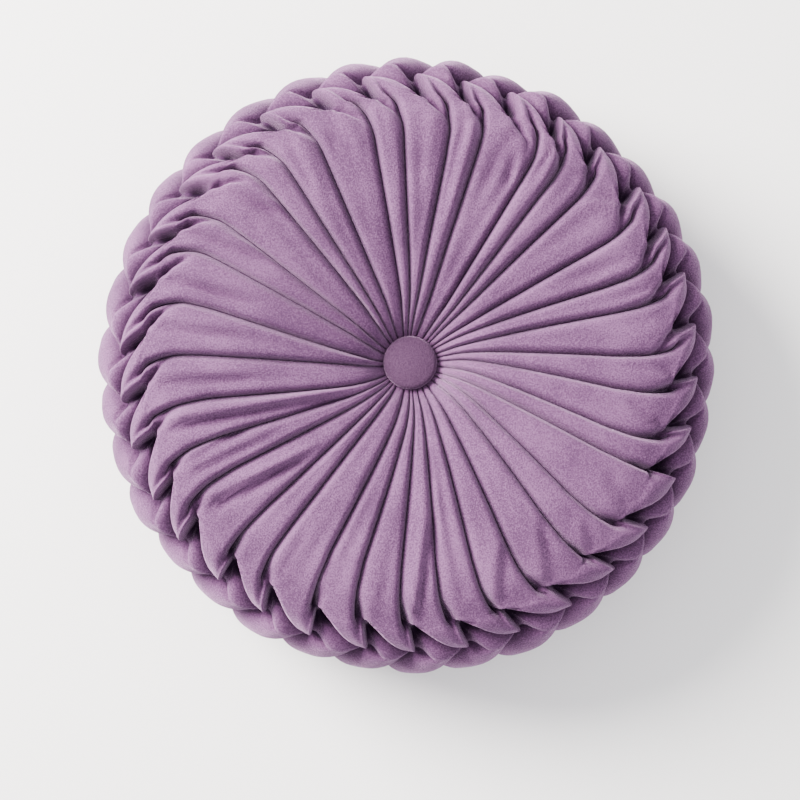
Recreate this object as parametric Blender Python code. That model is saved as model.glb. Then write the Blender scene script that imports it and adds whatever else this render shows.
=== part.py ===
"""A round pumpkin cushion in pleated velvet, lying on its back.

Its cover is drawn in to a covered button at the centre of each face in knife pleats, and is
smocked round the side into rows of folds that lean one way and then the other.
"""

import math

import bmesh
import bpy
import numpy as np

# Main sizes, in metres. The cushion rests on z = 0 and its widest line is at WIDEST_HEIGHT.
WIDEST_HEIGHT = 0.0545
BACK_FULLNESS = 1.17  # the weight presses the back's crown flat, so it starts this much fuller
BUTTON_RADIUS = 0.0165
BUTTON_RISE = 0.0085
BUTTON_FOOT_RADIUS = 0.0135
CLEARANCE = 0.0003

# From the button to the widest line: place on the way (0 at the button, 1 at the sewn knots,
# 2 at the tips of the first row of folds, 3 at the widest line), radius, height above the
# widest line, and how deep the cloth goes between the folds.
SECTION = np.array((
    # place, radius, height, relief
    (0.00, 0.0150, 0.0180, 0.0000),
    (0.04, 0.0195, 0.0202, 0.0014),
    (0.15, 0.0310, 0.0318, 0.0032),
    (0.27, 0.0480, 0.0392, 0.0040),
    (0.42, 0.0710, 0.0452, 0.0046),
    (0.60, 0.0990, 0.0492, 0.0050),
    (0.78, 0.1270, 0.0502, 0.0054),
    (0.90, 0.1450, 0.0488, 0.0064),
    (1.00, 0.1585, 0.0450, 0.0085),
    (1.25, 0.1630, 0.0432, 0.0110),
    (1.50, 0.1690, 0.0390, 0.0130),
    (2.00, 0.1785, 0.0275, 0.0135),
    (2.50, 0.1842, 0.0138, 0.0125),
    (3.00, 0.1855, 0.0000, 0.0110),
))
# The folds rise nearly straight up at the knots and lean out more and more towards the widest line
LEAN_PLACES = (1.0, 1.25, 1.5, 2.0, 2.5, 3.0)
LEAN_DEGREES = (12.0, 14.0, 22.0, 45.0, 74.0, 90.0)

# One row for each pleat: the angle of its crease, in degrees from +X towards +Y, close to the
# button and from halfway out, then the angles of its sewn knot and of the tip beside the knot.
PLEATS = (
    # near, far, knot, tip
    (10.0, 1.0, 6.0, 8.2),
    (18.0, 13.0, 16.5, 18.7),
    (28.0, 20.5, 25.0, 28.5),
    (34.0, 31.0, 36.0, 38.0),
    (45.0, 44.0, 47.0, 49.2),
    (50.0, 52.0, 56.0, 59.5),
    (57.5, 58.5, 66.5, 70.5),
    (74.0, 72.5, 76.5, 80.0),
    (85.0, 80.5, 86.0, 89.5),
    (90.5, 92.0, 96.5, 100.0),
    (98.0, 99.5, 106.5, 110.5),
    (113.0, 113.3, 117.5, 122.0),
    (124.5, 123.0, 127.8, 134.0),
    (130.5, 130.0, 138.7, 144.0),
    (147.0, 144.0, 149.7, 155.7),
    (156.5, 153.0, 161.0, 167.0),
    (174.5, 166.0, 172.3, 179.0),
    (184.0, 179.0, 184.5, 188.5),
    (206.0, 191.0, 195.0, 198.0),
    (214.0, 202.0, 205.0, 209.0),
    (222.0, 211.5, 215.0, 218.5),
    (231.0, 225.5, 227.3, 229.0),
    (238.0, 234.0, 237.0, 240.0),
    (258.0, 247.0, 248.5, 250.0),
    (269.0, 256.5, 259.0, 261.5),
    (274.0, 267.0, 269.0, 271.0),
    (283.0, 276.5, 279.0, 281.7),
    (294.0, 286.5, 288.5, 292.5),
    (305.0, 297.0, 300.0, 304.0),
    (321.0, 310.0, 311.0, 315.0),
    (332.0, 319.5, 322.0, 325.5),
    (341.0, 334.5, 335.0, 336.5),
    (352.0, 341.0, 344.0, 347.5),
    (363.0, 352.0, 354.5, 357.5),
)
NEAR, FAR, KNOT, TIP = (np.radians(column) for column in zip(*PLEATS))
COUNT = len(PLEATS)
NEAR_RADIUS = 0.031
FAR_RADIUS = 0.124
SWIRL_RADIUS = 0.022  # inside about this radius the creases swirl no further
GATHER_RADIUS = 0.044  # and from here in they even out
GATHER_EVENNESS = 0.4

# How the pleats of the face and the folds of the lattice are shaped
KNOT_LINE = 0.45  # where the knot line of a pleat starts, as a share of its width
VALLEY_FROM = 0.85  # the valley that runs into a knot starts at this place
VALLEY_DEPTH = 0.0060
EDGE_HEIGHT = 0.98  # height of a fold's long edge, as a share of the relief
CREST_HEIGHT = 1.14  # the same for its crest
CREST_PAST = 0.40  # where the crest lies, as a share of the way from the crease to the short side
HOLLOW_DEPTH = 0.40  # how deep the crease still is along a fold
HOLLOW_WIDTH = 0.13  # its width, as a share of the fold's
FOLD_FALL = 1.30  # how far a fold falls towards the pit behind it
FALL_AT_TIP = 0.35  # the same near its tip
PIT_DEPTH = 0.0060  # how far the cloth dips beyond that in the pit beside a sewn knot
PIT_ENDS = (0.26, 0.56)  # the pit runs out between these shares of the row
STRAND_COMES = (0.30, 0.95)  # and the strand of the second row swells between these
FALL_EASES = (0.40, 0.80)  # a fold lies shallower again past these
SHORT_BEND = 0.60  # the short side of a fold starts sideways from the knot and bends out to its tip
LONG_SWING = 0.42  # share of its way that a long side covers so, before it crosses to its tip
LONG_STARTS = 0.38
LONG_ENDS = 1.3
CREASE_BEND = 1.15  # a crease runs straight on at first, then bends to the tip
CREASE_KEEPS = (0.12, 0.95)  # the crease stays between these shares of the fold's width
STRAND_SHIFT = 0.70  # how far round a strand runs on its way out, as a share of the space between two tips
STRAND_BEND = 0.70
STRAND_EDGE = 0.92  # share of a strand's round section at which its far edge lies
STRAND_ROUNDNESS = 0.7
TIP_SHARPNESS = 8  # how late a fold comes down to its tip
UNEVENNESS = 0.12
UNEVEN_SEED = 7

# How finely the solid is cut: shares of the width from a crease to the knot line beside it, of the
# opening beside a knot and from the knot line to the next crease, then the steps on the way out
CREASE_COLUMNS = np.array((0.0, 0.15, 0.60))
OPENING_COLUMNS = np.array((0.0, 0.30, 0.65, 0.92))
KNOT_COLUMNS = np.array((0.0, 0.40, 0.88))
FRONT_PLACES = np.array((0.0, 0.04, 0.15, 0.32, 0.55, 0.76, 0.90, 1.0))
FRONT_SHARES = np.array((0.20, 0.45, 0.75, 1.0))
BACK_PLACES = np.array((0.0, 0.04, 0.20, 0.50, 0.82, 1.0))
BACK_SHARES = np.array((0.30, 0.65, 1.0))
BUTTON_SIDES = 28
MERGE_DISTANCE = 1e-6

# Colours as linear RGB, with the roughness of each cloth.
VELVET_COLOUR = (0.235, 0.135, 0.262)
BUTTON_COLOUR = (0.205, 0.118, 0.230)
VELVET_ROUGHNESS = 0.85


def clear_scene():
    for item in list(bpy.data.objects):
        bpy.data.objects.remove(item, do_unlink=True)


def velvet(name, colour):
    """A plain velvet finish."""
    material = bpy.data.materials.new(name)
    material.use_nodes = True
    shader = material.node_tree.nodes["Principled BSDF"]
    shader.inputs["Base Color"].default_value = (*colour, 1.0)
    shader.inputs["Roughness"].default_value = VELVET_ROUGHNESS
    shader.inputs["Metallic"].default_value = 0.0
    return material


def curve_through(places, values, at):
    """Smooth curve through values at places, without overshoot: a cubic on each stretch.

    Its slope at a place is the harmonic mean of the slopes on both sides, or 0 where they differ in sign.
    """
    rises = np.diff(values, axis=0) / np.diff(places)[:, None]
    before, after = rises[:-1], rises[1:]
    same = before * after > 0
    inner = np.where(same, 2 * before * after / np.where(same, before + after, 1.0), 0.0)
    slopes = np.concatenate((rises[:1], inner, rises[-1:]))
    index = np.clip(np.searchsorted(places, at, side="right") - 1, 0, len(places) - 2)
    width = (places[index + 1] - places[index])[:, None]
    part = (at - places[index])[:, None] / width
    return (
        values[index] * (2 * part**3 - 3 * part**2 + 1)
        + slopes[index] * width * (part**3 - 2 * part**2 + part)
        + values[index + 1] * (3 * part**2 - 2 * part**3)
        + slopes[index + 1] * width * (part**3 - part**2)
    )


def rise_between(value, limits):
    """0 up to the first limit, 1 from the second on, and a smooth rise between them."""
    return ease((value - limits[0]) / (limits[1] - limits[0]))


def following(angles):
    """The angles of the next pleat round, a full turn on after the last."""
    return np.append(angles[1:], angles[0] + 2 * math.pi)


def preceding(angles):
    """The angles of the last pleat round, a full turn back before the first."""
    return np.append(angles[-1] - 2 * math.pi, angles[:-1])


def ease(value):
    """0 up to 0, 1 from 1 on, and a smooth rise between them."""
    value = np.clip(value, 0.0, 1.0)
    return value * value * (3 - 2 * value)


def across_columns(starts, ends, columns):
    """Angles at the given shares of the way from each start to its end, one row for each pleat."""
    return starts[:, None] + (ends - starts)[:, None] * columns


def three_parts(crease, short, long, next_crease):
    """Angles of one ring: from each crease to the short side, over the opening, and on to the next crease."""
    return np.concatenate(
        (
            across_columns(crease, short, CREASE_COLUMNS),
            across_columns(short, long, OPENING_COLUMNS),
            across_columns(long, next_crease, KNOT_COLUMNS),
        ),
        axis=1,
    )


def creases_at(radius, near, even):
    """Angles of the creases at a radius.

    A crease is close to a straight line that passes beside the button, so its angle changes as
    one over the radius. At the button the gathers are nearly even.
    """
    def turn(at):
        return 1 / math.hypot(at, SWIRL_RADIUS)

    swing = (near - FAR) / (turn(NEAR_RADIUS) - turn(FAR_RADIUS))
    line = FAR + swing * (turn(min(radius, FAR_RADIUS)) - turn(FAR_RADIUS))
    evened = GATHER_EVENNESS * (1 - ease((radius - 0.010) / (GATHER_RADIUS - 0.010)))
    return line + evened * (even - line)


def face_ring(place, creases, relief, fullness):
    """Angles and heights of a ring across one face: broad pleats, each with a valley into its knot."""
    outer = ease((place - VALLEY_FROM) / (1 - VALLEY_FROM))
    knots = creases + (following(creases) - creases) * KNOT_LINE
    knots = knots + (KNOT - knots) * outer
    angles = three_parts(creases, knots, knots, following(creases))
    on_knot_line = 1 - outer * VALLEY_DEPTH / max(relief, VALLEY_DEPTH)
    shape = np.ones(angles.shape[1])
    shape[0] = 0.0
    shape[len(CREASE_COLUMNS) : 1 - len(KNOT_COLUMNS)] = on_knot_line
    return angles, relief * (fullness[:, None] * shape - 0.5)


def fold_height(across, crease, falls):
    """Height over a fold as a share of the relief, from its long edge (across 0) to its short side (1)."""
    crest = crease + CREST_PAST * (1 - crease)
    crown = EDGE_HEIGHT + (CREST_HEIGHT - EDGE_HEIGHT) * np.sin(np.clip(across / crest, 0, 1) * math.pi / 2)
    hollow = HOLLOW_DEPTH * np.exp(-(((across - crease) / HOLLOW_WIDTH) ** 2))
    return crown * (1 - falls * ease((across - crest) / (1 - crest))) - hollow


def first_ring(share, creases, relief, fullness):
    """Angles and heights of a ring through the first row of folds.

    A fold is a triangle. Its base lies between two knots, its short side goes from the second
    knot to the tip beside it, and its long side crosses from the first knot to the same tip, as
    a high edge over a pit. Between two folds the cloth opens, and a strand of the second row
    comes out.
    """
    short = KNOT + (TIP - KNOT) * share**SHORT_BEND
    crossed = LONG_SWING * share**LONG_STARTS + (1 - LONG_SWING) * share**LONG_ENDS
    long = KNOT + (following(TIP) - KNOT) * crossed
    apart = following(short) - long
    runs_on = following(creases) + (following(TIP) - following(creases)) * share**CREASE_BEND
    crease = np.clip((runs_on - long) / np.maximum(apart, MERGE_DISTANCE), *CREASE_KEEPS)
    next_crease = long + apart * crease
    angles = three_parts(preceding(next_crease), short, long, next_crease)
    ends = math.sqrt(1 - share**TIP_SHARPNESS)
    falls = FOLD_FALL + (FALL_AT_TIP - FOLD_FALL) * rise_between(share, FALL_EASES)
    own, of_last = fullness[:, None], np.roll(fullness, 1)[:, None]
    crease, crease_of_last = crease[:, None], np.roll(crease, 1)[:, None]
    second_part = crease_of_last + (1 - crease_of_last) * CREASE_COLUMNS
    fold_end = (1 - falls) * ends * of_last
    pit = PIT_DEPTH * (1 - rise_between(share, PIT_ENDS)) / relief
    strand = np.sin(math.pi * OPENING_COLUMNS) * rise_between(share, STRAND_COMES) * own - pit
    inward = ease(OPENING_COLUMNS / OPENING_COLUMNS[1])
    heights = np.concatenate(
        (
            fold_height(second_part, crease_of_last, falls) * ends * of_last,
            fold_end * (1 - inward) + strand * inward,
            fold_height(crease * KNOT_COLUMNS, crease, falls) * ends * own,
        ),
        axis=1,
    )
    return angles, relief * (heights - 0.5)


def second_ring(share, relief, fullness):
    """Angles and heights of a ring through the round strands of the second row, each over the next."""
    line = TIP - STRAND_SHIFT * (TIP - preceding(TIP)) * share**STRAND_BEND
    angles = three_parts(line, line, following(line), following(line))
    heights = np.zeros(angles.shape)
    swelling = np.sin(math.pi * STRAND_EDGE * OPENING_COLUMNS) ** STRAND_ROUNDNESS
    heights[:, len(CREASE_COLUMNS) : -len(KNOT_COLUMNS)] = swelling * fullness[:, None]
    return angles, relief * (heights - 0.5)


def half_cover(places, shares, near, even, fullness):
    """Points of one half of the cover, from its button out to the widest line."""
    where = np.concatenate((places, 1 + shares, 2 + shares))
    section = curve_through(SECTION[:, 0], SECTION[:, 1:], where)
    creases = [creases_at(radius, near, even) for radius in section[: len(places), 0]]
    reliefs = np.interp(where, SECTION[:, 0], SECTION[:, 3])
    rings = [face_ring(place, *at, fullness) for place, *at in zip(places, creases, reliefs)]
    reliefs = reliefs[len(places) :]
    rings += [first_ring(share, creases[-1], relief, fullness) for share, relief in zip(shares, reliefs)]
    reliefs = reliefs[len(shares) :]
    rings += [second_ring(share, relief, fullness) for share, relief in zip(shares, reliefs)]
    angles, heights = (np.array([ring[i].ravel() for ring in rings]) for i in (0, 1))
    ahead = curve_through(SECTION[:, 0], SECTION[:, 1:3], np.minimum(where + 0.01, 3.0))
    behind = curve_through(SECTION[:, 0], SECTION[:, 1:3], np.maximum(where - 0.01, 0.0))
    along = ahead - behind
    outward = np.arctan2(-along[:, 1], along[:, 0])
    outward = np.minimum(outward, np.radians(np.interp(where, LEAN_PLACES, LEAN_DEGREES)))[:, None]
    radius = section[:, :1] + np.sin(outward) * heights
    rise = section[:, 1:2] + np.cos(outward) * heights
    return np.stack((radius * np.cos(angles), radius * np.sin(angles), rise), axis=2)


def cushion_points():
    """The whole cover as a grid of points: a centre, the front, the side, the back and a centre."""
    even = np.mean(NEAR) + (np.arange(COUNT) - (COUNT - 1) / 2) * 2 * math.pi / COUNT
    fullness = 1 + UNEVENNESS * np.random.default_rng(UNEVEN_SEED).uniform(-1, 1, (2, COUNT))
    front = half_cover(FRONT_PLACES, FRONT_SHARES, NEAR, even, fullness[0])
    back = half_cover(BACK_PLACES, BACK_SHARES, even, even, fullness[1])
    back[:, :, 2] *= -BACK_FULLNESS
    points = np.concatenate((front[:1], front, back[-2::-1], back[:1]))
    points[[0, -1], :, :2] = 0.0
    points[:, :, 2] = np.maximum(points[:, :, 2] + WIDEST_HEIGHT, 0.0)
    return points


def mesh_of_grid(name, points):
    """A closed mesh from a grid of points that goes round in its columns, with its doubles merged."""
    rows, columns = points.shape[:2]
    corner = np.arange(rows * columns).reshape(rows, columns)
    right = np.roll(corner, -1, axis=1)
    faces = np.stack((corner[:-1], corner[1:], right[1:], right[:-1]), axis=2).reshape(-1, 4)
    mesh = bpy.data.meshes.new(name)
    mesh.from_pydata(points.reshape(-1, 3).tolist(), [], faces.tolist())
    grid = bmesh.new()
    grid.from_mesh(mesh)
    bmesh.ops.remove_doubles(grid, verts=grid.verts, dist=MERGE_DISTANCE)
    bmesh.ops.triangulate(grid, faces=grid.faces)
    grid.to_mesh(mesh)
    grid.free()
    return mesh


def button_points(floor, direction):
    """A covered button turned round the Z axis, foot first: a flat foot, a rounded rim and a low dome."""
    rounding = BUTTON_RADIUS - BUTTON_FOOT_RADIUS
    rim = np.linspace(-0.5, 0.5, 5) * math.pi
    dome = np.array((0.85, 0.6, 0.3, 0.0))
    dome_height = 2 * rounding + (BUTTON_RISE - 2 * rounding) * (1 - dome**2)
    radius = np.concatenate(((0.0,), BUTTON_FOOT_RADIUS + rounding * np.cos(rim), BUTTON_FOOT_RADIUS * dome))
    height = np.concatenate(((0.0,), rounding * (1 + np.sin(rim)), dome_height))
    turn = np.arange(BUTTON_SIDES) * 2 * math.pi / BUTTON_SIDES * direction
    return np.stack(
        (
            radius[:, None] * np.cos(turn),
            radius[:, None] * np.sin(turn),
            floor + direction * height[:, None] + 0 * turn,
        ),
        axis=2,
    )


def add_object(name, mesh, material):
    mesh.shade_smooth()
    mesh.set_sharp_from_angle(angle=math.radians(50))
    mesh.materials.append(material)
    item = bpy.data.objects.new(name, mesh)
    bpy.context.scene.collection.objects.link(item)
    return item


def main():
    clear_scene()
    cover = cushion_points()
    add_object("cushion", mesh_of_grid("cushion", cover), velvet("velvet", VELVET_COLOUR))
    front_floor = cover[0, 0, 2] + CLEARANCE
    back_floor = cover[-1, 0, 2] - CLEARANCE
    button_finish = velvet("button_velvet", BUTTON_COLOUR)
    front = button_points(front_floor, 1)[::-1]
    back = button_points(back_floor, -1)[::-1]
    add_object("front_button", mesh_of_grid("front_button", front), button_finish)
    add_object("back_button", mesh_of_grid("back_button", back), button_finish)


main()
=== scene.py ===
"""The looks of a round pumpkin cushion in pleated velvet, lying on its back, seen from above."""

import math

import bpy
import numpy as np
from mathutils import Matrix, Vector


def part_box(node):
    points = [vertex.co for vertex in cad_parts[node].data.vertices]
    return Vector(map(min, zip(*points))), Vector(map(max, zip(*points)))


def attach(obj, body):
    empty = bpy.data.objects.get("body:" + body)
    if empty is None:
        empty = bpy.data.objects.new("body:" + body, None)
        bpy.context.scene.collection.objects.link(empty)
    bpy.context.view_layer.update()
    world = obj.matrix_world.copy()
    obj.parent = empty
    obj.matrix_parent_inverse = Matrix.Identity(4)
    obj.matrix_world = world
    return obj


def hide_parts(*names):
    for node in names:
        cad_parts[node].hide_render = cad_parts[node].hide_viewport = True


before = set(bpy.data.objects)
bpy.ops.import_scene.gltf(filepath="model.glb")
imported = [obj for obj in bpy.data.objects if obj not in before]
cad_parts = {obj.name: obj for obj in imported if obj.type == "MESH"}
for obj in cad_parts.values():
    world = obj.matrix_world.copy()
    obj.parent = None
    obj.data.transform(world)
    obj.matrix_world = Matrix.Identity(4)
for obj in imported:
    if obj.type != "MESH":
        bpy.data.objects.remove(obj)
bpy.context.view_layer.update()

# The camera: degrees off straight down, the side it stands on in degrees from +X, metres away,
# the point it looks at, and its lens in millimetres
CAMERA_TILT = 3.7
CAMERA_TURN = 235.0
CAMERA_AWAY = 1.22
CAMERA_AIM = (-0.0057, -0.0222, 0.06)
CAMERA_LENS = 88

# Sizes in metres, from the surface that the cushion rests on
WIDEST_HEIGHT = 0.0545
BACK_FULLNESS = 1.17  # the weight presses the back's crown flat, so it starts this much fuller

# From the button to the widest line: place on the way (0 at the button, 1 at the sewn knots,
# 2 at the tips of the first row of folds, 3 at the widest line), radius, height above the
# widest line, and how deep the cloth goes between the folds.
SECTION = np.array((
    # place, radius, height, relief
    (0.00, 0.0150, 0.0180, 0.0000),
    (0.04, 0.0195, 0.0202, 0.0018),
    (0.15, 0.0310, 0.0318, 0.0032),
    (0.27, 0.0480, 0.0392, 0.0040),
    (0.42, 0.0710, 0.0452, 0.0046),
    (0.60, 0.0990, 0.0492, 0.0050),
    (0.78, 0.1270, 0.0502, 0.0054),
    (0.90, 0.1450, 0.0488, 0.0064),
    (1.00, 0.1585, 0.0450, 0.0085),
    (1.25, 0.1630, 0.0432, 0.0110),
    (1.50, 0.1690, 0.0390, 0.0130),
    (2.00, 0.1785, 0.0275, 0.0135),
    (2.50, 0.1850, 0.0138, 0.0125),
    (3.00, 0.1864, 0.0000, 0.0110),
))
PLACES, RADII, RELIEFS = SECTION[:, 0], SECTION[:, 1], SECTION[:, 3]
# How far over a fold may lean, in degrees from straight up: hardly at the knots, flat out at the
# widest line
LEAN_PLACES = (1.0, 1.25, 1.5, 2.0, 2.5, 3.0)
LEAN_DEGREES = (12.0, 14.0, 22.0, 45.0, 74.0, 90.0)

# One row for each pleat: the angle of its crease, in degrees from +X towards +Y, close to the
# button and from halfway out, then the angles of its sewn knot and of the tip beside the knot.
PLEATS = (
    # near, far, knot, tip
    (10.0, 1.0, 6.0, 8.2),
    (18.0, 13.0, 16.5, 18.7),
    (28.0, 20.5, 25.0, 28.5),
    (34.0, 31.0, 36.0, 38.0),
    (45.0, 44.0, 47.0, 49.2),
    (50.0, 52.0, 56.0, 59.5),
    (57.5, 58.5, 66.5, 70.5),
    (74.0, 72.5, 76.5, 80.0),
    (85.0, 80.5, 86.0, 89.5),
    (90.5, 92.0, 96.5, 100.0),
    (98.0, 99.5, 106.5, 110.5),
    (113.0, 113.3, 117.5, 122.0),
    (124.5, 123.0, 127.8, 134.0),
    (130.5, 130.0, 138.7, 144.0),
    (147.0, 144.0, 149.7, 155.7),
    (156.5, 153.0, 161.0, 167.0),
    (174.5, 166.0, 172.3, 179.0),
    (184.0, 179.0, 184.5, 188.5),
    (206.0, 191.0, 195.0, 198.0),
    (214.0, 202.0, 205.0, 209.0),
    (222.0, 211.5, 215.0, 218.5),
    (231.0, 225.5, 227.3, 229.0),
    (238.0, 234.0, 237.0, 240.0),
    (258.0, 247.0, 248.5, 250.0),
    (269.0, 256.5, 259.0, 261.5),
    (274.0, 267.0, 269.0, 271.0),
    (283.0, 276.5, 279.0, 281.7),
    (294.0, 286.5, 288.5, 292.5),
    (305.0, 297.0, 300.0, 304.0),
    (321.0, 310.0, 311.0, 315.0),
    (332.0, 319.5, 322.0, 325.5),
    (341.0, 334.5, 335.0, 336.5),
    (352.0, 341.0, 344.0, 347.5),
    (363.0, 352.0, 354.5, 357.5),
)
NEAR, FAR, KNOT, TIP = (np.radians(column) for column in zip(*PLEATS))
COUNT = len(PLEATS)
NEAR_RADIUS = 0.031  # where a crease has its near angle
FAR_RADIUS = 0.124  # and from where it has its far one
KNOT_RADIUS = 0.1585
SWIRL_RADIUS = 0.022  # inside about this radius the creases swirl no further
# The knot line of a pleat is the line along it that ends in its sewn knot
KNOT_LINE_FROM = 0.060  # from this radius it swings out from near the pleat's middle
HOOK_FROM = 0.145  # and from this one it hooks round to the knot
SETTLES_FROM = 0.144  # from this radius the swell of a pleat settles towards the ring of knots

# Smaller folds of the face, from the inner end to the outer end, higher on the side of the
# smaller angle
SMALL_FOLDS = (
    # inner angle, inner radius, outer angle, outer radius, height
    (24.3, 0.110, 23.7, 0.154, 0.0010),
    (44.5, 0.138, 37.0, 0.158, 0.0016),
    (55.0, 0.128, 56.0, 0.156, 0.0012),
    (59.5, 0.116, 65.0, 0.156, 0.0016),
    (66.0, 0.105, 65.8, 0.150, 0.0014),
    (77.5, 0.080, 76.8, 0.153, 0.0016),
    (87.0, 0.095, 86.0, 0.154, 0.0014),
    (105.0, 0.125, 106.5, 0.157, 0.0018),
    (109.0, 0.130, 107.5, 0.157, 0.0014),
    (119.5, 0.112, 118.0, 0.156, 0.0016),
    (129.0, 0.110, 138.0, 0.157, 0.0026),
    (141.0, 0.128, 139.5, 0.157, 0.0014),
    (144.0, 0.098, 149.5, 0.156, 0.0024),
    (158.5, 0.094, 161.0, 0.157, 0.0024),
    (171.5, 0.098, 172.0, 0.157, 0.0026),
    (186.0, 0.088, 184.8, 0.156, 0.0022),
    (214.0, 0.030, 194.8, 0.156, 0.0030),
    (201.0, 0.104, 204.5, 0.156, 0.0022),
    (208.0, 0.088, 206.5, 0.150, 0.0018),
    (225.0, 0.072, 215.0, 0.154, 0.0030),
    (237.5, 0.120, 237.5, 0.156, 0.0012),
    (247.5, 0.125, 248.5, 0.156, 0.0010),
    (277.0, 0.090, 270.5, 0.157, 0.0024),
    (282.5, 0.060, 280.5, 0.154, 0.0012),
    (297.0, 0.118, 288.8, 0.157, 0.0018),
    (309.5, 0.118, 300.8, 0.157, 0.0018),
    (317.0, 0.138, 312.0, 0.157, 0.0014),
    (330.0, 0.130, 323.5, 0.157, 0.0014),
    (348.5, 0.128, 344.3, 0.157, 0.0018),
    (359.5, 0.140, 355.5, 0.158, 0.0012),
)
SMALL_FOLD_WIDTH = 0.0026
SMALL_FOLD_RISES = 0.3  # share of its length over which a small fold rises from its inner end
SMALL_FOLD_ENDS = 0.12  # share over which it fades at its outer end
SMALL_FOLD_NEEDS = 0.3  # it fades where the pleat swells less than this share of its middle

# Soft puckers that fan in from each sewn knot
PUCKERS = (
    # lie (radians from straight in), spread, height, length
    (-0.50, 0.13, 0.0016, 0.030),
    (-0.12, 0.10, 0.0020, 0.044),
    (0.22, 0.09, 0.0018, 0.040),
    (0.60, 0.14, 0.0014, 0.028),
)
PUCKER_TURNS = (-0.06, 0.06)  # each one lies this much otherwise at random
PUCKER_HEIGHTS = (0.3, 1.3)  # and has its height
PUCKER_LENGTHS = (0.7, 1.3)  # and its length times this
PUCKER_START = 0.006  # a pucker is full at this distance from the knot
PUCKER_FOCUS = 0.002  # the fan's centre lies this far past the knot

# Fine ripples along the pleats
RIPPLES = (
    # height, length of one radian of the wave
    (0.000375, 0.0035),
    (0.000300, 0.0019),
)

# How finely the cover is cut: shares of the width from a crease to the knot line beside it, from
# there to the next crease, and of the width of a fold that opens at a knot
CREASE_COLUMNS = np.array((0, 0.04, 0.10, 0.18, 0.28, 0.40, 0.53, 0.67, 0.80, 0.91))
KNOT_COLUMNS = np.array((0, 0.09, 0.20, 0.32, 0.44, 0.56, 0.67, 0.77, 0.85, 0.91, 0.955, 0.985))
OPENING_COLUMNS = np.array(
    (0, 0.07, 0.15, 0.24, 0.33, 0.42, 0.51, 0.60, 0.68, 0.76, 0.83, 0.89, 0.94, 0.98)
)
# Places of the rings from the button to the knots, and the rings in each row of the lattice
FRONT_PLACES = np.concatenate(
    (np.linspace(0, 0.12, 6), np.linspace(0.16, 0.72, 12), np.linspace(0.75, 1.0, 16))
)
BACK_PLACES = np.concatenate(
    (np.linspace(0, 0.12, 4), np.linspace(0.2, 0.8, 5), np.linspace(0.86, 1.0, 5))
)
FRONT_STEPS = 20
BACK_STEPS = 9
STEP_CROWDING = 1.25  # crowds the steps of a row towards its first knots
SLOPE_STEP = 0.01  # the section's slope is read over this much of the way to each side
MERGE_DIGITS = 6  # points that are the same to the micrometre become one

# The pleats of the face
GATHER_EVENNESS = 0.4  # how far the gathers at the button are spread evenly
GATHERED = (0.010, 0.044)  # that fades out between these radii
ROLL_BEFORE = 0.0030  # width of the rolled edge before a crease
ROLL_AFTER = 0.0050  # the same past it
ROLLS_TAKE = (0.3, 0.4)  # the two take no more than these shares of a narrow pleat
WIDE_PLEAT = 0.03  # a pleat of this width has its full rolled edges
RIDGE_RISE = 0.0007  # how far the pleat swells behind the rolled edge before a crease
RIDGE_AT = 0.0045  # distance of that swell from the crease
RIDGE_WIDTH = 0.003
RIDGE_NEEDS = 0.02  # width of a pleat with a full ridge
PLEAT_SWELL = 0.10  # how far the middle of a pleat swells, as a share of the relief
PLEATS_START = 0.1  # place at which the pleats are fully formed
KNOT_LINE_MIDDLE = 0.45  # near the button the knot line runs at this share of a pleat's width
KNOT_LINE_KEEPS = (0.10, 0.50)  # before its hook it keeps between these shares
KNOT_HOOK = 0.22  # share of a pleat's width by which the valley swings round into its knot
KNOT_HOOK_BEND = 1.5  # the larger, the later it swings round
VALLEY_FROM = 0.142  # the valley that runs into a knot starts at this radius
VALLEY_DEPTH = 0.0065  # its depth at the knot
VALLEY_BEFORE = 0.0060  # width of its side before the knot line
VALLEY_PAST = 0.0040  # width of its side past the knot line
CREASE_SWING = 0.20  # share of its way round to the tip that a crease covers while still on the face
CREASE_SWINGS_FROM = 0.136  # it starts to swing at this radius

# The first row of folds. Where a share of the row is meant, it runs from the knots to the tips.
CREST_PAST = 0.42  # where a fold's crest lies, as a share of the way from its crease to its short side
EDGE_HEIGHT = 0.98  # height of a fold's long edge, as a share of the relief
CREST_HEIGHT = 1.14  # the same for its crest, behind the hollow of the crease
EDGE_LIP = 0.0012  # how far the long edge overhangs
LIP_ENDS = 0.12  # share of the row over which the overhang starts and ends
LIP_WIDTH = 0.08  # width of the overhang, as a share of the fold's width
HOLLOW_WIDTH = 0.15  # width of the hollow of the crease, as a share of the fold's width
HOLLOW_DEPTH = 0.62  # how deep the crease still is along a fold, as a share of the relief
HOLLOW_STARTS = 0.20  # share of the row by which it is that deep
HOLLOW_ENDS = (0.15, 0.70)  # shares between which it fills up
FALL_AT_KNOT = 0.76  # how deep the valley is at the knot, as a share of the relief there
FOLD_FALL = 1.45  # how far a fold falls towards the pit behind it, as a share of its height
FOLD_FALLS_BY = 0.30  # share of the row by which it falls so far
FALL_AT_TIP = 0.75  # the same near its tip
FALL_LESSENS = (0.40, 0.80)  # shares between which the fall becomes that of the tip
TIP_SINKS = 2.4  # the smaller, the sooner a fold sinks on its way to its tip
EDGE_TURNS_BY = 0.26  # share of the row by which the valley at a knot has turned into a fold's long edge
CREST_TURNS_LATER = 0.12  # the crest takes this much longer
CREST_REACHED = 0.5  # share of the fold's width from where it does
FULLNESS_BY = 0.4  # share of the row by which a fold's short side is as full as its own pleat
PIT_DEPTH = 0.0080  # how far the cloth dips in the pit beside a sewn knot
PIT_OPENS = 0.10  # share of the row by which the pit is that deep
PIT_CLOSES = (0.26, 0.56)  # shares between which it fills up
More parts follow.
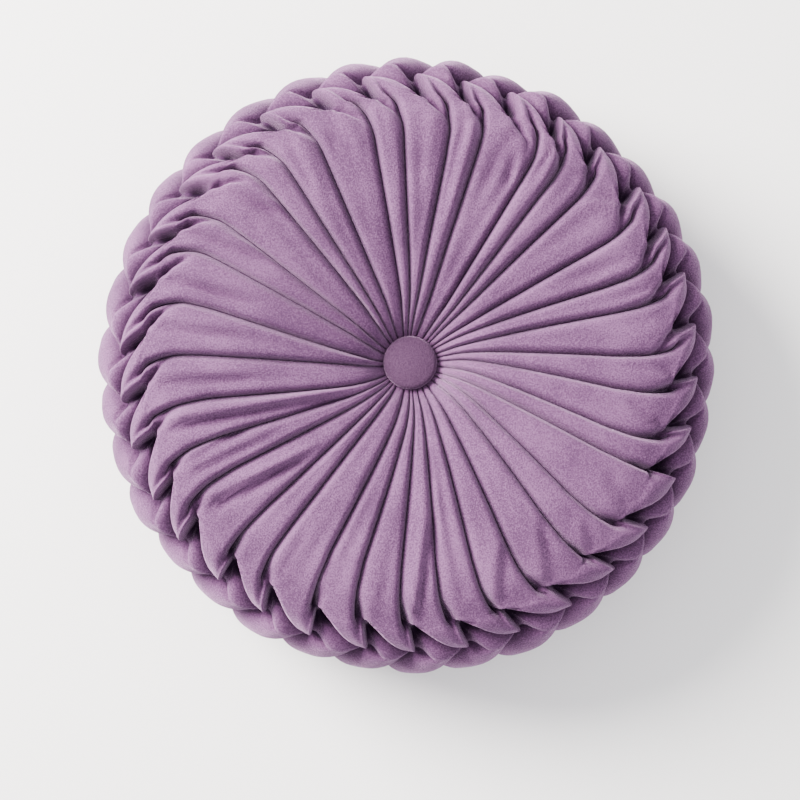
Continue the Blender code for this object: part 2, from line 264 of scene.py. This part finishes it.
SIDE_RUNS_IN = 0.35  # share of an opening's width over which the short side runs into it
WALL_FROM = 0.88  # share of its width at which the wall up to the next long edge starts
SHORT_BEND = 0.60  # the short side of a fold starts sideways from the knot and bends out to its tip
LONG_SWING = 0.42  # share of its way that a long side covers so, before it crosses to its tip
LONG_STARTS = 0.42  # power of the row's share in that
LONG_ENDS = 1.3  # and in the rest of its way
CREASE_KEEPS = (0.12, 0.95)  # the crease stays between these shares of the fold's width
LEAST_APART = 1e-6  # a fold narrower than this angle counts as this wide, in radians

# The strands of the second row
STRAND_RISES = (0.30, 0.95)  # shares of the first row between which a strand comes up in an opening
STRAND_SKEW = 0.85  # power of the share across, so its crest lies nearer the short side there
STRAND_SHIFT = 0.70  # how far round a strand runs on its way out, as a share of the space between two tips
STRAND_BEND = 0.70  # power of the second row's share in that
STRAND_EDGE = 0.92  # share of a strand's round section at which its far edge lies
STRAND_FULLNESS = 0.7  # the smaller, the boxier the section
STRAND_SWELLS_BY = 0.35  # share of the second row by which a strand is round

# Unevenness, and the painted shade that darkens the hollows
UNEVENNESS = 0.12  # the folds are up to this share fuller or flatter than the relief
UNEVEN_SEED = 7
PAINTED_SHADE_FROM = 0.30  # height, as a share of the relief, below which painted shade starts to darken a hollow
PAINTED_SHADE_DARKEST_AT = -0.52  # height at which the painted shade is darkest
LEAST_RELIEF = 0.0010  # where the relief is less than this, the painted shade is measured against this

# The covered buttons: how round the rim is, as a share of the radius, and how finely they are cut
BUTTON_ROUNDING = 0.2
BUTTON_DOME_STARTS = 0.95  # share of the domed part's radius, just inside the rim
BUTTON_RIM_STEPS = 9
BUTTON_DOME_STEPS = 12
BUTTON_TURN_STEPS = 64

# The velvet. The tufts of the pile are drawn about 0.9 mm wide, coarser than real ones, so that they show.
TUFTS_PER_METRE = 1100.0
NAP_PATCHES_PER_METRE = 30.0  # brushed patches of the nap, some 33 mm across
TUFT_SHARE = 0.74  # how much of the play of tones is the tufts', the rest is the nap's
TUFT_HEIGHT = 0.0008
TONES_AT = (0.42, 0.59)  # values of the grain at which the cloth has its dark and its light tone
COVER_TONES = ("#4C2F4D", "#6F4A6E")
BUTTON_TONES = ("#3F273F", "#4F354E")
PAINTED_SHADE_TONES = ((0.0, "#FFFFFF"), (0.45, "#D2C8D4"), (1.0, "#665070"))  # painted shade of the hollows, multiplied over the cloth's tones

# The studio
WINDOW_PLACE = (-1.8, 1.0, 1.2)
WINDOW_AIM = (0.0, 0.0, 0.05)
WINDOW_SIZE = 1.5  # its width in metres
WINDOW_WATTS = 400.0
WINDOW_COLOUR = "#FFFBF7"
FILL_COLOUR = "#F2F2F6"
FILL_STRENGTH = 1.78
PAPER_COLOUR = "#FAF8F7"
PAPER_HALF_SIZE = 4.0


def curve_through(places, values, at):
    """Smooth curve through values at places, without overshoot: a cubic on each stretch.

    Its slope at a place is the harmonic mean of the slopes on both sides, or 0 where they differ in sign.
    """
    steps = np.diff(places).reshape((-1,) + (1,) * (values.ndim - 1))
    rises = np.diff(values, axis=0) / steps
    before, after = rises[:-1], rises[1:]
    same = before * after > 0
    inner = np.where(same, 2 * before * after / np.where(same, before + after, 1.0), 0.0)
    slopes = np.concatenate((rises[:1], inner, rises[-1:]))
    index = np.clip(np.searchsorted(places, at, side="right") - 1, 0, len(places) - 2)
    width = (places[index + 1] - places[index]).reshape((-1,) + (1,) * (values.ndim - 1))
    part = (at - places[index]).reshape(width.shape) / width
    return (
        values[index] * (2 * part**3 - 3 * part**2 + 1)
        + slopes[index] * width * (part**3 - 2 * part**2 + part)
        + values[index + 1] * (3 * part**2 - 2 * part**3)
        + slopes[index + 1] * width * (part**3 - part**2)
    )


def following(angles):
    """The angles of the next pleat round, a full turn on after the last."""
    return np.concatenate((angles[..., 1:], angles[..., :1] + 2 * math.pi), axis=-1)


def preceding(angles):
    """The angles of the pleat before, a full turn back before the first."""
    return np.concatenate((angles[..., -1:] - 2 * math.pi, angles[..., :-1]), axis=-1)


def between(value, start, end):
    """0 up to the start, 1 from the end on, and a smooth rise between them.

    With s as the share of the way, it is three times s squared less twice s cubed.
    """
    share = np.clip((value - start) / (end - start), 0.0, 1.0)
    return share * share * (3 - 2 * share)


def bump(value, centre, width):
    """1 at the centre, falling off on both sides as a bell of the given width."""
    return np.exp(-(((value - centre) / width) ** 2))


def roll(distance, width):
    """Height of a rolled edge, from 0 to 1 across its width: a quarter of a sine wave."""
    return np.sin(math.pi / 2 * np.clip(distance / width, 0.0, 1.0))


def crease_angles(radius, near, far, even):
    """Angles of the creases at each radius.

    A crease is close to a straight line that passes beside the button, so its angle changes as
    one over the radius. At the button the gathers are nearly even. Near the sewn knots it starts
    to swing round to its tip.
    """
    def turn(at):
        return 1 / np.hypot(at, SWIRL_RADIUS)

    radius = radius[:, None]
    swing = (near - far) / (turn(NEAR_RADIUS) - turn(FAR_RADIUS))
    line = far + swing * (turn(np.minimum(radius, FAR_RADIUS)) - turn(FAR_RADIUS))
    line = line + GATHER_EVENNESS * (1 - between(radius, *GATHERED)) * (even - line)
    swung = np.clip((radius - CREASE_SWINGS_FROM) / (KNOT_RADIUS - CREASE_SWINGS_FROM), 0, 1) ** 2
    return line + CREASE_SWING * swung * (TIP - line)


def across_columns(starts, ends, columns):
    """Angles at the given shares of the way from each start to its end."""
    return starts[..., None] + (ends - starts)[..., None] * columns


def three_parts(crease, knot_before, knot_after, crease_ahead):
    """Angles of a ring's columns: crease to knot line, across the opening, and on to the next crease."""
    return np.concatenate(
        (
            across_columns(crease, knot_before, CREASE_COLUMNS),
            across_columns(knot_before, knot_after, OPENING_COLUMNS),
            across_columns(knot_after, crease_ahead, KNOT_COLUMNS),
        ),
        axis=2,
    )


def grooved(before, after, width):
    """Height over a pleat of this width, 0 in its creases and 1 past their rolled edges.

    It takes the distance before the crease ahead and the distance after the one behind.
    """
    roll_before = roll(before, np.minimum(ROLL_BEFORE, ROLLS_TAKE[0] * width))
    return roll_before * roll(after, np.minimum(ROLL_AFTER, ROLLS_TAKE[1] * width))


def beside_knot(past):
    """Shape of the valley into a knot, 1 at its bottom: its two sides have widths of their own."""
    return 1 - between(np.where(past < 0, -past / VALLEY_BEFORE, past / VALLEY_PAST), 0, 1)


def small_folds(angles, radius):
    """Height of the small folds at points of the face: each one a ridge with a valley along it.

    Across a fold it is the slope of a bell curve, scaled so that its peak is the fold's height.
    """
    x, y = radius * np.cos(angles), radius * np.sin(angles)
    heights = 0 * x
    for inner, inner_radius, outer, outer_radius, tall in SMALL_FOLDS:
        inner, outer = math.radians(inner), math.radians(outer)
        start = np.array((inner_radius * math.cos(inner), inner_radius * math.sin(inner)))
        line = np.array((outer_radius * math.cos(outer), outer_radius * math.sin(outer))) - start
        length = math.hypot(*line)
        along = ((x - start[0]) * line[0] + (y - start[1]) * line[1]) / length**2
        aside = ((y - start[1]) * line[0] - (x - start[0]) * line[1]) / length / SMALL_FOLD_WIDTH
        fades = between(along, 0, SMALL_FOLD_RISES) * between(1 - along, 0, SMALL_FOLD_ENDS)
        heights = heights - tall * fades * aside * np.exp(0.5 - aside**2 / 2)
    return heights


def knot_lines(radius, creases):
    """Angles of the line in each pleat that ends in its sewn knot, hooking round to it at the end."""
    ahead = following(creases)
    knot_share = (KNOT - creases[-1]) / (ahead[-1] - creases[-1])
    straight = np.clip(knot_share - KNOT_HOOK, *KNOT_LINE_KEEPS)
    swings = between(radius, KNOT_LINE_FROM, HOOK_FROM)
    share = KNOT_LINE_MIDDLE + (straight - KNOT_LINE_MIDDLE) * swings
    share = share + (knot_share - share) * between(radius, HOOK_FROM, KNOT_RADIUS) ** KNOT_HOOK_BEND
    return creases + (ahead - creases) * share


def puckers(angles, radius, inside, random):
    """Height of the soft puckers that fan in from the knots: bells over the angle about a knot."""
    out = KNOT_RADIUS - radius
    across = (angles - KNOT[:, None]) * radius
    fan, away = np.arctan2(across, out + PUCKER_FOCUS), np.hypot(across, out)
    heights = 0 * away
    for lie, spread, tall, long in PUCKERS:
        lie = lie + random.uniform(*PUCKER_TURNS, (1, COUNT, 1))
        tall = tall * random.uniform(*PUCKER_HEIGHTS, (1, COUNT, 1))
        long = long * random.uniform(*PUCKER_LENGTHS, (1, COUNT, 1))
        fades = between(away, 0, PUCKER_START) * (1 - between(away, 0, long))
        heights = heights + tall * bump(fan, lie, spread) * fades * np.sqrt(inside)
    return heights


def face_rings(places, creases, fullness, random):
    """Rings over one face: angle, height and sideways lean of every point.

    Between two creases the cloth lies nearly flat, with rolled edges. The sewn knot at the
    outer end of the pleat draws the cloth in, with soft puckers fanning in from it.
    """
    radius, _, relief = curve_through(PLACES, SECTION[:, 1:], places).T[:, :, None, None]
    ahead = following(creases)
    knots = knot_lines(radius[:, :, 0], creases)
    angles = three_parts(creases, knots, knots, ahead)
    width = (ahead - creases)[..., None] * radius
    after = (angles - creases[..., None]) * radius
    before = width - after
    inside = np.sin(math.pi * np.clip(after / width, 0, 1))
    phases = random.uniform(0, 2 * math.pi, (len(RIPPLES), COUNT, 1))
    ripple = sum(tall * np.sin(after / long + phase) for (tall, long), phase in zip(RIPPLES, phases))
    heights = relief * (fullness[:, None] * grooved(before, after, width) - 0.5)
    formed = between(places, 0, PLEATS_START)[:, None, None]
    loose = formed * (1 - between(radius, SETTLES_FROM, KNOT_RADIUS))
    ridge = RIDGE_RISE * bump(before, RIDGE_AT, RIDGE_WIDTH) * between(width, 0, RIDGE_NEEDS)
    heights = heights + loose * (ridge + inside * (PLEAT_SWELL * relief + ripple))
    heights = heights + puckers(angles, radius, inside, random)
    valley = VALLEY_DEPTH * between(radius, VALLEY_FROM, KNOT_RADIUS) * fullness[:, None]
    heights = heights - valley * beside_knot((angles - knots[..., None]) * radius)
    heights = heights + small_folds(angles, radius) * between(inside, 0, SMALL_FOLD_NEEDS)
    return angles, heights, 0 * angles


def row_shares(steps):
    """Places of the rings of one row of the lattice, as shares of the way through it."""
    return np.linspace(0, 1, steps + 1)[1:] ** STEP_CROWDING


def relief_between(first, last, share):
    """Relief on the way from one place of the section to another, in a straight line."""
    start, end = np.interp((first, last), PLACES, RELIEFS)
    return start + (end - start) * share


def first_row(steps, creases, fullness):
    """Rings through the first row of folds: angle, height and sideways lean of every point.

    A fold is a triangle. Its base lies between two knots, its short side goes from the second
    knot to the tip beside it, and its long side crosses from the first knot to the same tip, as
    a rolled edge that stands over a pit. The crease of the pleat runs on along the fold as a
    hollow. Between two folds the cloth opens, and the strand of the second row comes out.
    """
    share = row_shares(steps)[:, None]
    short = KNOT + (TIP - KNOT) * share**SHORT_BEND
    crossed = LONG_SWING * share**LONG_STARTS + (1 - LONG_SWING) * share**LONG_ENDS
    long = KNOT + (following(TIP) - KNOT) * crossed
    apart = following(short) - long
    runs_on = following(creases) + (following(TIP) - following(creases)) * share
    crease_share = np.clip((runs_on - long) / np.maximum(apart, LEAST_APART), *CREASE_KEEPS)
    # at its tip a fold has no width, so the crease keeps the share it had
    crease_share[-1] = crease_share[-2]
    crease_at = long + apart * crease_share
    angles = three_parts(preceding(crease_at), short, long, crease_at)
    share = share[:, :, None]
    relief = relief_between(1, 2, share)
    width = apart[:, :, None] * curve_through(PLACES, RADII, 1 + share[:, 0, 0])[:, None, None]
    width_of_last = np.roll(width, 1, axis=1)
    crease = crease_share[:, :, None]
    crease_of_last = np.roll(crease, 1, axis=1)
    own = fullness[:, None]
    of_last = own + (np.roll(own, 1, axis=0) - own) * between(share, 0, FULLNESS_BY)
    first_part = crease * KNOT_COLUMNS
    second_part = crease_of_last + (1 - crease_of_last) * CREASE_COLUMNS
    side = fold_height(1 + 0 * crease, crease_of_last, share, relief, width_of_last) * of_last
    edge = fold_height(0 * crease, crease, share, relief, width) * own
    heights = np.concatenate(
        (
            fold_height(second_part, crease_of_last, share, relief, width_of_last) * of_last,
            gap_height(OPENING_COLUMNS, share, side, edge, relief * own),
            fold_height(first_part, crease, share, relief, width) * own,
        ),
        axis=2,
    )
    leans = 0 * angles
    lip = EDGE_LIP * between(share, 0, LIP_ENDS) * between(1 - share, 0, LIP_ENDS)
    leans[:, :, -len(KNOT_COLUMNS) :] = -lip * bump(first_part, 0.0, LIP_WIDTH)
    return angles, heights - relief / 2, leans


def second_row(steps, fullness):
    """Rings through the strands of the second row, out to the widest line.

    A strand comes out beside a tip, from under the strand before it, and swells. Its far edge
    lies over the next strand.
    """
    share = row_shares(steps)[:, None]
    line = TIP - STRAND_SHIFT * (TIP - preceding(TIP)) * share**STRAND_BEND
    angles = three_parts(line, line, following(line), following(line))
    share = share[:, :, None]
    relief = relief_between(2, 3, share)
    emerges = emerging(OPENING_COLUMNS)
    round_strand = np.sin(math.pi * STRAND_EDGE * OPENING_COLUMNS) ** STRAND_FULLNESS
    swelling = emerges + (round_strand - emerges) * between(share, 0, STRAND_SWELLS_BY)
    heights = 0 * angles
    heights[:, :, len(CREASE_COLUMNS) : -len(KNOT_COLUMNS)] = relief * swelling * fullness[:, None]
    return angles, heights - relief / 2, 0 * angles


def emerging(across):
    """Height across a strand where it comes out from under a fold: a roll with its crest to one side."""
    return np.sin(math.pi * across**STRAND_SKEW)


def runs_out(share):
    """Height of a fold on its way, as a share of its first height: level, then down into the tip."""
    return np.sqrt(np.maximum(1 - share**TIP_SINKS, 0))


def falls(share):
    """How far a fold has fallen at its short side: most beside the pit, less where it runs out."""
    into_pit = FALL_AT_KNOT + (FOLD_FALL - FALL_AT_KNOT) * between(share, 0, FOLD_FALLS_BY)
    return into_pit + (FALL_AT_TIP - into_pit) * between(share, *FALL_LESSENS)


def fold_height(across, crease, share, relief, width):
    """Height over a fold, from its long edge (across 0) to its short side (across 1).

    It starts as the pleat of the face, with its crease between the valleys of two knots, and
    turns into a crown, a quarter of a sine wave up to the crest, that falls off to the short side.
    """
    from_crease = (across - crease) * width
    before = np.where(from_crease > 0, WIDE_PLEAT, -from_crease)
    after = np.where(from_crease < 0, WIDE_PLEAT, from_crease)
    valleys = beside_knot(across * width) + beside_knot((across - 1) * width)
    start = grooved(before, after, WIDE_PLEAT) - FALL_AT_KNOT * valleys
    crest = crease + CREST_PAST * (1 - crease)
    rises = np.sin(np.clip(across / crest, 0, 1) * math.pi / 2)
    crown = EDGE_HEIGHT + (CREST_HEIGHT - EDGE_HEIGHT) * rises
    deepens = between(share, 0, HOLLOW_STARTS) * (1 - between(share, *HOLLOW_ENDS))
    hollow = HOLLOW_DEPTH * bump(across, crease, HOLLOW_WIDTH) * deepens
    body = (crown * (1 - falls(share) * between(across, crest, 1)) - hollow) * runs_out(share)
    turns_by = EDGE_TURNS_BY + CREST_TURNS_LATER * np.clip(across / CREST_REACHED, 0, 1)
    turned = between(share, 0, turns_by)
    return relief * (start * (1 - turned) + body * turned)


def gap_height(across, share, side, edge, strand_height):
    """Height over the cloth that opens between two folds, from a short side (0) to a long edge (1).

    It dips into the pit beside the knot, further out the strand of the next row fills it, and a
    wall goes up to the long edge.
    """
    pit = PIT_DEPTH * between(share, 0, PIT_OPENS) * (1 - between(share, *PIT_CLOSES))
    strand = emerging(across) * strand_height * between(share, *STRAND_RISES) - pit
    inward = between(across, 0, SIDE_RUNS_IN)
    wall = between(across, WALL_FROM, 1)
    level = side * (1 - inward) + strand * inward
    return level * (1 - wall) + wall * edge


def half_cover(places, steps, creases, seed):
    """Points of one half of the cover, from its button out to the widest line, and the painted shade of
    each, from how hollow it lies.

    A height is laid off at right angles to the section, though never further over than the lean at
    that place. Half of the relief lies above the section and half under it.
    """
    random = np.random.default_rng(seed)
    fullness = 1 + UNEVENNESS * random.uniform(-1, 1, COUNT)
    parts = (
        face_rings(places, creases, fullness, random),
        first_row(steps, creases[-1], fullness),
        second_row(steps, fullness),
    )
    angles, heights, leans = (np.concatenate([part[i] for part in parts]) for i in range(3))
    where = np.concatenate((places, 1 + row_shares(steps), 2 + row_shares(steps)))
    section = curve_through(PLACES, SECTION[:, 1:3], where)
    ahead = curve_through(PLACES, SECTION[:, 1:3], np.minimum(where + SLOPE_STEP, PLACES[-1]))
    behind = curve_through(PLACES, SECTION[:, 1:3], np.maximum(where - SLOPE_STEP, PLACES[0]))
    along = ahead - behind
    outward = np.arctan2(-along[:, 1], along[:, 0])
    outward = np.minimum(outward, np.radians(np.interp(where, LEAN_PLACES, LEAN_DEGREES)))[:, None, None]
    radius = section[:, 0, None, None] + np.sin(outward) * heights
    angles = angles + leans / radius
    tall = section[:, 1, None, None] + np.cos(outward) * heights
    points = np.stack((radius * np.cos(angles), radius * np.sin(angles), tall), axis=-1)
    relief = np.interp(where, PLACES, RELIEFS)[:, None, None]
    share = heights / np.maximum(relief, LEAST_RELIEF)
    # painted shade: the lower a point lies in the relief, the darker its colour is painted, in creases,
    # valleys and pits
    painted_shade = np.clip((PAINTED_SHADE_FROM - share) / (PAINTED_SHADE_FROM - PAINTED_SHADE_DARKEST_AT), 0, 1)
    return points.reshape(len(where), -1, 3), painted_shade.reshape(len(where), -1)


def cover_points():
    """The whole cover as a grid from the front's centre to the back's, and the painted shade of each
    point, from how hollow it lies.

    The creases of the back start evenly round its button and otherwise run as those of the front.
    What would lie under the floor is pressed flat on it.
    """
    even = np.mean(NEAR) + (np.arange(COUNT) - (COUNT - 1) / 2) * 2 * math.pi / COUNT
    front_radius = curve_through(PLACES, RADII, FRONT_PLACES)
    back_radius = curve_through(PLACES, RADII, BACK_PLACES)
    front_creases = crease_angles(front_radius, NEAR, FAR, even)
    back_creases = crease_angles(back_radius, even, FAR, even)
    front, front_painted_shade = half_cover(FRONT_PLACES, FRONT_STEPS, front_creases, UNEVEN_SEED)
    back, back_painted_shade = half_cover(BACK_PLACES, BACK_STEPS, back_creases, UNEVEN_SEED)
    back[:, :, 2] *= -BACK_FULLNESS
    points = np.concatenate((front[:1], front, back[-2::-1], back[:1]))
    painted_shade = np.concatenate((front_painted_shade[:1], front_painted_shade, back_painted_shade[-2::-1], back_painted_shade[:1]))
    points[[0, -1], :, :2] = 0.0
    points[:, :, 2] = np.maximum(points[:, :, 2] + WIDEST_HEIGHT, 0.0)
    return points, painted_shade


def whole_faces(faces):
    """Which faces have no corner twice."""
    ordered = np.sort(faces, axis=1)
    return (ordered[:, 1:] != ordered[:, :-1]).all(axis=1)


def closed_mesh(name, points, painted_shade):
    """A closed mesh from a grid that goes round in its columns. Points that meet become one."""
    rows, columns = points.shape[:2]
    rounded = np.round(points.reshape(-1, 3), MERGE_DIGITS)
    _, keep, same = np.unique(rounded, axis=0, return_index=True, return_inverse=True)
    corner = same.reshape(rows, columns)
    right = np.roll(corner, -1, axis=1)
    quads = np.stack((corner[:-1], corner[1:], right[1:], right[:-1]), axis=2).reshape(-1, 4)
    whole = whole_faces(quads)
    thin = np.concatenate((quads[~whole][:, [0, 1, 2]], quads[~whole][:, [0, 2, 3]]))
    thin = thin[whole_faces(thin)]
    mesh = bpy.data.meshes.new(name)
    mesh.from_pydata(points.reshape(-1, 3)[keep].tolist(), [], quads[whole].tolist() + thin.tolist())
    # the painted shade of each point is kept in the hollow attribute, which darkens the velvet's colour
    hollow = mesh.attributes.new("hollow", "FLOAT", "POINT")
    hollow.data.foreach_set("value", painted_shade.ravel()[keep].astype(np.float32))
    mesh.shade_smooth()
    return mesh


def button_mesh(name, box, direction):
    """A covered button turned round its axis: a flat foot, a rounded rim and a low dome.

    The rim is half a circle, and the dome falls as the square of the distance from the axis.
    """
    low, high = np.array(box[0]), np.array(box[1])
    radius = (high[0] - low[0]) / 2
    height = high[2] - low[2]
    rounding = radius * BUTTON_ROUNDING
    rim = np.linspace(-0.5, 0.5, BUTTON_RIM_STEPS) * math.pi
    dome = np.linspace(BUTTON_DOME_STARTS, 0.0, BUTTON_DOME_STEPS)
    flat = radius - rounding
    across = np.concatenate(((0.0,), flat + rounding * np.cos(rim), flat * dome))
    crown = 2 * rounding + (height - 2 * rounding) * (1 - dome**2)
    up = np.concatenate(((0.0,), rounding * (1 + np.sin(rim)), crown))
    turn = np.linspace(0, 2 * math.pi, BUTTON_TURN_STEPS, endpoint=False) * direction
    foot = low[2] if direction == 1 else high[2]
    x, y = across[:, None] * np.cos(turn), across[:, None] * np.sin(turn)
    points = np.stack((x, y, foot + direction * up[:, None] + 0 * turn), axis=2)[::-1]
    return closed_mesh(name, points, 0 * x)


def add_piece(name, mesh, material, node):
    """Puts a finished mesh into the scene, riding with the cushion and standing for its node."""
    mesh.materials.append(material)
    piece = bpy.data.objects.new(name, mesh)
    bpy.context.scene.collection.objects.link(piece)
    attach(piece, "root")
    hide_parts(node)
    return piece


def linear(hex_colour):
    """A colour given as sRGB hex, as linear RGBA by the standard curve of sRGB."""
    parts = [int(hex_colour[i : i + 2], 16) / 255 for i in (1, 3, 5)]
    return (*(p / 12.92 if p <= 0.04045 else ((p + 0.055) / 1.055) ** 2.4 for p in parts), 1.0)


def add_node(tree, kind, settings=None, inputs=None, links=None):
    """Adds a shader node with its settings, its input values and the links into it."""
    node = tree.nodes.new(kind)
    for name, value in (settings or {}).items():
        setattr(node, name, value)
    for name, value in (inputs or {}).items():
        node.inputs[name].default_value = value
    for name, socket in (links or {}).items():
        tree.links.new(socket, node.inputs[name])
    return node


def set_tones(tones, stops):
    """Gives a range of tones its (place, sRGB hex) stops. It has two of its own, which become the ends."""
    for element, (place, colour) in zip(tones.elements, (stops[0], stops[-1])):
        element.position = place
        element.color = linear(colour)
    for place, colour in stops[1:-1]:
        tones.elements.new(place).color = linear(colour)


def velvet(name, tones):
    """Short-pile polyester velvet in a dark and a light tone.

    The pile drinks the light that meets it head on and glows where it is seen along its side,
    so the cloth has a deep body colour, a pale sheen and no gloss. Shade is painted into the creases as a
    darker colour.
    """
    material = bpy.data.materials.new(name)
    material.use_nodes = True
    tree = material.node_tree
    shader = tree.nodes["Principled BSDF"]
    place = add_node(tree, "ShaderNodeTexCoord").outputs["Object"]
    nap = add_node(
        tree,
        "ShaderNodeTexNoise",
        inputs={"Scale": NAP_PATCHES_PER_METRE, "Detail": 2.0, "Roughness": 0.5},
        links={"Vector": place},
    )
    pile = add_node(
        tree,
        "ShaderNodeTexNoise",
        inputs={"Scale": TUFTS_PER_METRE, "Detail": 2.0, "Roughness": 0.75},
        links={"Vector": place},
    )
    mixed = add_node(
        tree,
        "ShaderNodeMix",
        inputs={"Factor": TUFT_SHARE},
        links={"A": nap.outputs["Fac"], "B": pile.outputs["Fac"]},
    )
    colour = add_node(tree, "ShaderNodeValToRGB", links={"Fac": mixed.outputs["Result"]})
    set_tones(colour.color_ramp, tuple(zip(TONES_AT, tones)))
    # painted shade: the hollow attribute darkens the cloth's colour in its creases and pits
    hollow = add_node(tree, "ShaderNodeAttribute", {"attribute_name": "hollow"})
    shade = add_node(tree, "ShaderNodeValToRGB", links={"Fac": hollow.outputs["Fac"]})
    set_tones(shade.color_ramp, PAINTED_SHADE_TONES)
    # the colour sockets of this node are numbers 6 and 7, and its colour comes out of number 2
    colour_with_painted_shade = add_node(
        tree,
        "ShaderNodeMix",
        {"data_type": "RGBA", "blend_type": "MULTIPLY"},
        {0: 1.0},
        {6: colour.outputs["Color"], 7: shade.outputs["Color"]},
    )
    tree.links.new(colour_with_painted_shade.outputs[2], shader.inputs["Base Color"])
    relief = add_node(
        tree,
        "ShaderNodeBump",
        inputs={"Strength": 0.90, "Distance": TUFT_HEIGHT},
        links={"Height": pile.outputs["Fac"]},
    )
    tree.links.new(relief.outputs["Normal"], shader.inputs["Normal"])
    shader.inputs["Roughness"].default_value = 0.9
    shader.inputs["Specular IOR Level"].default_value = 0.15
    shader.inputs["Sheen Weight"].default_value = 0.60
    shader.inputs["Sheen Roughness"].default_value = 0.32
    shader.inputs["Sheen Tint"].default_value = linear("#DDB4DD")
    return material


def plain_floor():
    """Pale studio paper under the cushion: matt, so that it shows a soft shadow and no reflection."""
    size = PAPER_HALF_SIZE
    mesh = bpy.data.meshes.new("floor")
    corners = [(-size, -size, 0), (size, -size, 0), (size, size, 0), (-size, size, 0)]
    mesh.from_pydata(corners, [], [(0, 1, 2, 3)])
    material = bpy.data.materials.new("studio_paper")
    material.use_nodes = True
    shader = material.node_tree.nodes["Principled BSDF"]
    shader.inputs["Base Color"].default_value = linear(PAPER_COLOUR)
    shader.inputs["Roughness"].default_value = 0.9
    mesh.materials.append(material)
    floor = bpy.data.objects.new("floor", mesh)
    bpy.context.scene.collection.objects.link(floor)


def window_light():
    """A round soft light at the upper left, as wide as a window."""
    light = bpy.data.lights.new("window", "AREA")
    light.shape = "DISK"
    light.size = WINDOW_SIZE
    light.energy = WINDOW_WATTS
    light.color = linear(WINDOW_COLOUR)[:3]
    lamp = bpy.data.objects.new("window", light)
    lamp.location = WINDOW_PLACE
    lamp.rotation_euler = (Vector(WINDOW_AIM) - Vector(WINDOW_PLACE)).to_track_quat("-Z", "Y").to_euler()
    bpy.context.scene.collection.objects.link(lamp)


def room_light():
    """Even pale light from all round, which fills the shadows."""
    world = bpy.data.worlds.new("studio")
    world.use_nodes = True
    background = world.node_tree.nodes["Background"]
    background.inputs["Color"].default_value = linear(FILL_COLOUR)
    background.inputs["Strength"].default_value = FILL_STRENGTH
    bpy.context.scene.world = world


def camera_above():
    """The camera almost straight above the face, with +Y up in its picture."""
    camera = bpy.data.cameras.new("camera")
    camera.lens = CAMERA_LENS
    camera.sensor_width = 36
    seen = bpy.data.objects.new("camera", camera)
    tilt, turn = math.radians(CAMERA_TILT), math.radians(CAMERA_TURN)
    line = Vector((math.sin(tilt) * math.cos(turn), math.sin(tilt) * math.sin(turn), math.cos(tilt)))
    seen.location = Vector(CAMERA_AIM) + line * CAMERA_AWAY
    right = Vector((0, 1, 0)).cross(line).normalized()
    seen.rotation_euler = Matrix((right, line.cross(right), line)).transposed().to_euler()
    bpy.context.scene.collection.objects.link(seen)
    bpy.context.scene.camera = seen


def main():
    """Dresses the cushion and its two buttons, and sets up the studio."""
    cover = velvet("pile_velvet", COVER_TONES)
    tight = velvet("tight_velvet", BUTTON_TONES)
    points, painted_shade = cover_points()
    mesh = closed_mesh("velvet_cover", points, painted_shade)
    cushion = add_piece("velvet_cover", mesh, cover, "cushion")
    for node, direction in (("front_button", 1), ("back_button", -1)):
        mesh = button_mesh(f"covered_{node}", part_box(node), direction)
        add_piece(f"covered_{node}", mesh, tight, node)
    plain_floor()
    window_light()
    room_light()
    camera_above()


main()
